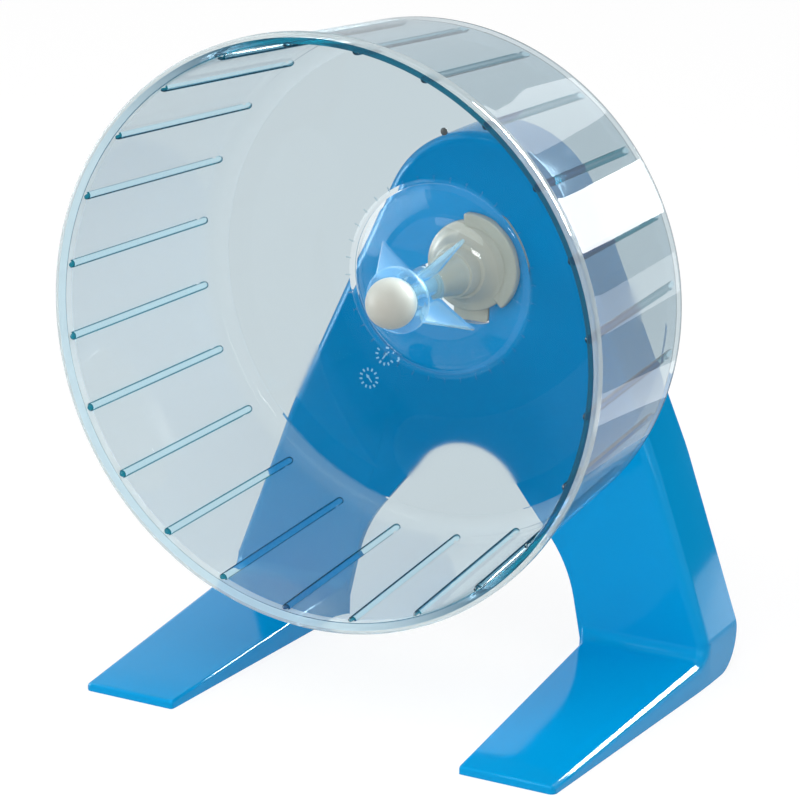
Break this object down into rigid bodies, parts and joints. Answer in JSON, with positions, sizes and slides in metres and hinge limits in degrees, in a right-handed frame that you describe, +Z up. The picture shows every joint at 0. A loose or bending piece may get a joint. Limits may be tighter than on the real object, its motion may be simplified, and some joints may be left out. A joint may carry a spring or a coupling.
{
  "type": "hamster wheel",
  "caption": "Free-standing clear running wheel for a small pet, on a bent plastic stand with a twist-lock spindle and a ball knob.",
  "frame": {"origin": "on the floor, under the middle of the whole", "axes": "+Z up, +Y from the drum's open front to the stand's back, +X to the right seen from the front"},
  "size_m": [0.18, 0.1288, 0.2166],
  "materials": {
    "blue_plastic": "glossy moulded",
    "ivory_plastic": "satin moulded",
    "clear_plastic": "clear, polished"
  },
  "bodies": {
    "stand": {"stand_shell": "blue_plastic"},
    "axle": {"axle_spindle": "ivory_plastic", "retaining_knob": "ivory_plastic"},
    "wheel": {"wheel_drum": "clear_plastic"}
  },
  "joints": [
    {"name": "axle_lock", "type": "hinge", "parent": "stand", "child": "axle", "pos_m": [0, 0.03865, 0.1266], "axis": [0, 1, 0], "range_deg": [0, 60]},
    {"name": "wheel_spin", "type": "hinge", "parent": "axle", "child": "wheel", "pos_m": [0, -0.002, 0.1266], "axis": [0, 1, 0], "continuous": true}
  ]
}
